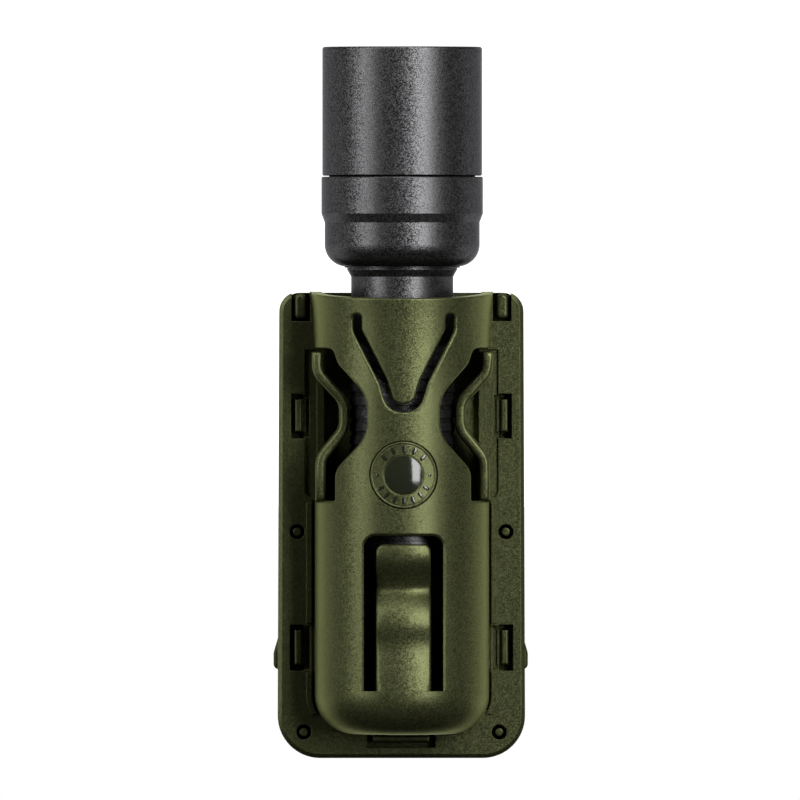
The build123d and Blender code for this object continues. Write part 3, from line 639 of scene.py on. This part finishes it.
# ------------------------------------------------------------------ repeated pieces
@dataclass
class ArcOf:
    """Geometry Nodes group that sets copies of a template along an arc in the XZ plane."""

    name: str
    count: int
    radius: float
    start_deg: float = 0.0
    sweep_deg: float = 360.0

    def _group(self, template: bpy.types.Object, paint: bpy.types.Material) -> bpy.types.NodeTree:
        """Node group with its named inputs."""
        group = bpy.data.node_groups.new(self.name, "GeometryNodeTree")
        face = group.interface
        face.new_socket("Count", in_out="INPUT", socket_type="NodeSocketInt")
        for name in ("Radius", "Start", "Step"):
            face.new_socket(name, in_out="INPUT", socket_type="NodeSocketFloat")
        face.new_socket("Geometry", in_out="OUTPUT", socket_type="NodeSocketGeometry")
        tree = Tree(group)
        given = tree.node("NodeGroupInput", {}).outputs
        count, radius, start, step = (
            Value(tree, given[name]) for name in ("Count", "Radius", "Start", "Step")
        )
        angle = tree.value("GeometryNodeInputIndex", {}) * step + start
        spot = {"X": angle.sine() * radius, "Z": angle.cosine() * radius}
        place = tree.value("ShaderNodeCombineXYZ", {}, spot)
        turn = tree.value("ShaderNodeCombineXYZ", {}, {"Y": angle})
        line = tree.value("GeometryNodeMeshLine", {"mode": "OFFSET"}, {"Count": count})
        points = {"Geometry": line, "Position": place}
        put = tree.value("GeometryNodeSetPosition", {}, points)
        source = tree.value("GeometryNodeObjectInfo", {}, {"Object": template}, "Geometry")
        parts = {"Points": put, "Instance": source, "Rotation": turn}
        copies = tree.value("GeometryNodeInstanceOnPoints", {}, parts)
        real = tree.value("GeometryNodeRealizeInstances", {}, (copies,))
        coat = tree.value("GeometryNodeSetMaterial", {}, {"Geometry": real, "Material": paint})
        tree.node("NodeGroupOutput", {}, (coat,))
        return group

    def build(self, template: bpy.types.Object, paint: bpy.types.Material) -> bpy.types.Object:
        """Evaluates the group to a plain mesh.

        Args:
            template: the piece to repeat; it is removed afterwards.
            paint: material of every copy.

        Returns:
            The object that holds all the copies.
        """
        holder = bpy.data.objects.new(self.name, bpy.data.meshes.new(self.name))
        bpy.context.scene.collection.objects.link(holder)
        layer = holder.modifiers.new(self.name, "NODES")
        layer.node_group = self._group(template, paint)
        gaps = self.count if self.sweep_deg == 360.0 else self.count - 1
        values = {
            "Count": self.count,
            "Radius": self.radius,
            "Start": math.radians(self.start_deg),
            "Step": math.radians(self.sweep_deg) / gaps,
        }
        for item in layer.node_group.interface.items_tree:
            if item.in_out == "INPUT":
                layer[item.identifier] = values[item.name]
        holder.update_tag()
        graph = bpy.context.evaluated_depsgraph_get()
        mesh = bpy.data.meshes.new_from_object(holder.evaluated_get(graph))
        holder.modifiers.clear()
        holder.data = mesh
        bpy.data.objects.remove(template)
        return holder


@dataclass
class CountersunkScrew:
    """Countersunk screw with a hexagon socket, head up along +Y before it is placed."""

    head_r: float = 2.9 * MM
    shank_r: float = 1.2 * MM
    neck_drop: float = 1.5 * MM
    neck_flare: float = 0.25 * MM
    length: float = 5.1 * MM
    tip_taper: float = 0.3 * MM
    socket_r: float = 1.1 * MM
    socket_depth: float = 1.05 * MM
    socket_point: float = 0.25 * MM
    socket_lip: float = 0.18 * MM
    edge: float = 0.12 * MM
    thread_start: float = 0.4 * MM
    thread_turns: int = 6
    thread_pitch: float = 0.5 * MM
    thread_depth: float = 0.16 * MM
    segments: int = 48

    def _socket(self, y: float) -> Ring:
        """Ring on the hexagon of the socket."""
        flat = self.socket_r * math.cos(math.pi / 6)
        ring = []
        for index in range(self.segments):
            turn = math.tau * index / self.segments
            off = (turn % (math.pi / 3)) - math.pi / 6
            radius = flat / math.cos(off)
            ring.append(Vector((radius * math.sin(turn), y, radius * math.cos(turn))))
        return ring

    def _circle(self, radius: float, y: float) -> Ring:
        """Round ring."""
        return [Vector((radius * sine, y, radius * cosine)) for sine, cosine in turning(self.segments)]

    def _thread(self) -> list[Ring]:
        """Crests and roots of the thread, from the neck down."""
        rings = []
        for turn in range(self.thread_turns):
            crest = -self.neck_drop - self.thread_start - turn * self.thread_pitch
            root = crest - self.thread_pitch / 2
            rings.append(self._circle(self.shank_r, crest))
            rings.append(self._circle(self.shank_r - self.thread_depth, root))
        return rings

    def template(self) -> bpy.types.Object:
        """One screw with its head flush with Y = 0."""
        rings = [
            [Vector((0, -self.socket_depth - self.socket_point, 0))],
            self._socket(-self.socket_depth),
            self._socket(-self.edge),
            self._circle(self.socket_r + self.socket_lip, 0.0),
            self._circle(self.head_r - self.edge, 0.0),
            self._circle(self.head_r, -self.edge * 0.6),
            self._circle(self.shank_r + self.neck_flare, -self.neck_drop),
            *self._thread(),
            self._circle(self.shank_r - self.tip_taper, -self.length),
            [Vector((0, -self.length, 0))],
        ]
        return solid("screw_template", rings)


@dataclass
class HubScrews:
    """The four screws of the swivel hub and the one in its middle."""

    circle_r: float = 12.0 * MM
    face_y: float = -3.9 * MM
    middle_face_y: float = -0.3 * MM
    middle_length: float = 6.3 * MM

    def build(self, paint: Paintbox) -> None:
        """Builds them in place of the CAD node."""
        steel = paint.get(Finish.BLACK_STEEL)
        ring = ArcOf("hub_screw_set", 4, self.circle_r, 45.0)
        screws = ring.build(CountersunkScrew().template(), steel)
        self._seat(screws, self.face_y, "hub_screws")
        middle = CountersunkScrew(length=self.middle_length).template()
        middle.name = "hub_middle_screw"
        middle.data.materials.append(steel)
        self._seat(middle, self.middle_face_y, "hub_center_screw")

    def _seat(self, screws: bpy.types.Object, face_y: float, node: str) -> None:
        """Moves screws to their face and puts them in place of their CAD node."""
        screws.data.transform(Matrix.Translation((0, face_y, 0)))
        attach(screws, "holster")
        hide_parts(node)


@dataclass
class Badge:
    """Round badge: domed middle, groove, band of bars and dots, rim bead; curved with the shell."""

    middle_z: float = at_height(65.2)
    shell_r: float = 19.95 * MM
    radius: float = 7.62 * MM
    depth: float = 0.85 * MM
    dome_r: float = 4.3 * MM
    dome_rise: float = 0.34 * MM
    dome_steps: int = 14
    groove_r: tuple[float, float] = (4.4 * MM, 4.6 * MM)
    groove_depth: float = 0.16 * MM
    band_edges: tuple[float, float] = (4.7 * MM, 6.95 * MM)
    band_r: float = 5.95 * MM
    rim_groove_r: float = 7.05 * MM
    rim_groove_depth: float = 0.1 * MM
    bead_r: float = 7.35 * MM
    bead_half_width: float = 0.24 * MM
    bead_rise: float = 0.12 * MM
    proud: float = 0.02 * MM
    segments: int = 120

    def _curved(self, x: float, lift: float, z: float) -> Vector:
        """Point over the shell: x and z across the badge, lift outwards."""
        sine = x / self.shell_r
        reach = self.shell_r + lift
        front = TORCH_Y - reach * math.sqrt(1.0 - sine * sine)
        return Vector((reach * sine, front, self.middle_z + z))

    def _profile(self) -> list[tuple[float, float]]:
        """Radius and lift, from the middle of the dome round to the middle of the back."""
        shares = [step / self.dome_steps for step in range(1, self.dome_steps + 1)]
        foot = self.proud + 0.01 * MM
        dome = [(self.dome_r * share, self.dome_rise * (1 - share**2) + foot) for share in shares]
        groove = [(radius, -self.groove_depth) for radius in self.groove_r]
        band = [(radius, self.proud) for radius in self.band_edges]
        rim_groove = [(self.rim_groove_r, -self.rim_groove_depth)]
        bead = []
        for turn in (-1.5, -1.0, -0.5, 0.0, 0.5, 1.0, 1.5):
            radius = self.bead_r + self.bead_half_width * math.sin(turn)
            bead.append((radius, self.bead_rise * math.cos(turn) - self.proud))
        edge = (self.radius, -self.rim_groove_depth)
        back = [edge, (self.radius, -self.depth), (self.radius / 2, -self.depth)]
        return dome + groove + band + rim_groove + bead + back

    def build(self, paint: Paintbox) -> None:
        """Builds the disc and what stands on its band."""
        circle = turning(self.segments)
        rings = [[self._curved(0, self.dome_rise + self.proud + 0.01 * MM, 0)]]
        for radius, lift in self._profile():
            ring = [self._curved(radius * sine, lift, radius * cosine) for sine, cosine in circle]
            rings.append(ring)
        rings.append([self._curved(0, -self.depth, 0)])
        disc = solid("badge_disc", rings)
        disc.data.materials.append(paint.get(Finish.OLIVE_POLYMER))
        disc.data.materials.append(paint.get(Finish.BADGE_GLOSS))
        self._gloss_middle(disc)
        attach(disc, "holster")
        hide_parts("badge")
        rows = (
            ("badge_bars_top", self._stud(0.42 * MM, 0.43 * MM), 5, -48.0, 96.0),
            ("badge_bars_low", self._stud(0.38 * MM, 0.42 * MM), 7, 120.0, 120.0),
            ("badge_dots", self._stud(0.36 * MM, 0.0), 2, 90.0, 180.0),
        )
        for name, template, count, start, sweep in rows:
            arc = ArcOf(name, count, self.band_r, start, sweep)
            row = arc.build(template, paint.get(Finish.BADGE_GLOSS))
            for vertex in row.data.vertices:
                vertex.co = self._curved(vertex.co.x, -vertex.co.y, vertex.co.z)
            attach(row, "holster")

    def _gloss_middle(self, disc: bpy.types.Object) -> None:
        """Gives the dome the glossy finish."""
        centre = Vector((0, 0, self.middle_z))
        for face in disc.data.polygons:
            off = face.center - centre
            reach = math.hypot(off.x, off.z)
            face.material_index = 1 if reach < self.dome_r + 0.1 * MM else 0

    def _stud(self, radius: float, stretch: float) -> bpy.types.Object:
        """Low crowned stud with its top towards -Y.

        Args:
            radius: radius of its ends.
            stretch: how far each half is drawn out along Z.

        Returns:
            The stud.
        """
        layers = ((1.0, 0.1), (1.0, -0.06), (0.85, -0.15), (0.45, -0.18))
        rings = [[Vector((0, 0.1 * MM, 0))]]
        for share, y in layers:
            ring = []
            for sine, cosine in turning(20):
                shift = stretch if cosine >= 0 else -stretch
                ring.append(Vector((radius * share * sine, y * MM, radius * share * cosine + shift)))
            rings.append(ring)
        rings.append([Vector((0, -0.185 * MM, 0))])
        return solid("stud_template", rings)


# ------------------------------------------------------------------ springs moulded in the shell
@dataclass
class MouldedSpring:
    """Tongue or arm that grows out of the shell at its root.

    Attributes:
        node: the CAD piece that it replaces.
        body: the body that its tip is meant to follow; not used.
        root_z: height of the root above the holster's bottom edge, in millimetres.
        towards_tip: 1 if the tip is above the root, -1 if it is below.
        reach: how near the root's height a point has to be to belong to the root.
        lift: how far the root is drawn into the shell.
        hold: how far inside the shell the bend starts; not used.
        bend: how far from the root the bend ends; not used.
        cover: whether the root is drawn out over the shell, to leave no seam.
        cover_steps: length and rise of each step of that cover.
    """

    node: str
    body: str
    root_z: float
    towards_tip: float
    reach: float = 0.03 * MM
    lift: float = 0.2 * MM
    hold: float = 0.3 * MM
    bend: float = 5.0 * MM
    cover: bool = False
    cover_steps: tuple[tuple[float, float], ...] = ((0.2 * MM, 0.012 * MM), (0.45 * MM, -0.06 * MM))

    def build(self, nodes: dict[str, bpy.types.Object], paint: Paintbox) -> None:
        """Copies the CAD piece and joins its root to the shell.

        Args:
            nodes: the CAD pieces by name.
            paint: the finishes.
        """
        shape = merged(nodes[self.node])
        root = at_height(self.root_z)
        if self.cover:
            self._cover_seam(shape, root)
        else:
            for vertex in shape.verts:
                if abs(vertex.co.z - root) < self.reach:
                    vertex.co.z -= self.towards_tip * self.lift
        spring = link(f"{self.node}_moulded", shape, 28.0)
        spring.data.materials.clear()
        spring.data.materials.append(paint.get(Finish.OLIVE_POLYMER))
        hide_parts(self.node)
        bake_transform(spring)

    def _cover_seam(self, shape: bmesh.types.BMesh, root: float) -> None:
        """Draws the root out over the shell and then down into it, so that no seam shows.

        Args:
            shape: the spring's mesh.
            root: height of its root in the row frame.
        """
        caps = [f for f in shape.faces if all(abs(v.co.z - root) < self.reach for v in f.verts)]
        for step, rise in self.cover_steps:
            grown = bmesh.ops.extrude_face_region(shape, geom=caps)["geom"]
            bmesh.ops.delete(shape, geom=caps, context="FACES")
            caps = [item for item in grown if isinstance(item, bmesh.types.BMFace)]
            for vertex in (item for item in grown if isinstance(item, bmesh.types.BMVert)):
                out = Vector((vertex.co.x, vertex.co.y - TORCH_Y, 0.0))
                vertex.co += out.normalized() * rise
                vertex.co.z -= self.towards_tip * step


SPRINGS = (
    MouldedSpring("upper_tongue", "upper_tongue", 101.0, -1.0, cover=True),
    MouldedSpring("lower_tongue", "lower_tongue", 15.92, 1.0, reach=0.07 * MM),
    MouldedSpring("right_grip_arm", "right_grip_arm", 59.32, 1.0),
    MouldedSpring("left_grip_arm", "left_grip_arm", 59.32, 1.0),
)


@dataclass
class SwitchSpring:
    """Return spring of the tail switch, which shortens as the button is pressed; here a rigid copy of
    the CAD spring.
    """

    node: str = "switch_spring"
    seat_z: float = at_height(20.15)
    foot_z: float = at_height(18.25)

    def build(self, nodes: dict[str, bpy.types.Object], paint: Paintbox) -> None:
        """Copies the CAD spring and gives it the spring steel finish.

        Args:
            nodes: the CAD pieces by name.
            paint: the finishes.
        """
        spring = link(f"{self.node}_wound", merged(nodes[self.node]))
        spring.data.materials.clear()
        spring.data.materials.append(paint.get(Finish.SPRING_STEEL))
        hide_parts(self.node)
        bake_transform(spring)


def main() -> None:
    """Builds the studio and dresses every piece."""
    logging.basicConfig(level=logging.INFO, format="%(message)s")
    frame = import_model()
    slots = {row["node"]: row["material_slot"] for row in frame["record"]["subparts"]}
    paint = Paintbox()
    Studio().build()
    paint.dress(frame["nodes"], slots)
    Badge().build(paint)
    HubScrews().build(paint)
    for spring in SPRINGS:
        spring.build(frame["nodes"], paint)
    SwitchSpring().build(frame["nodes"], paint)


if __name__ == "__main__":
    main()
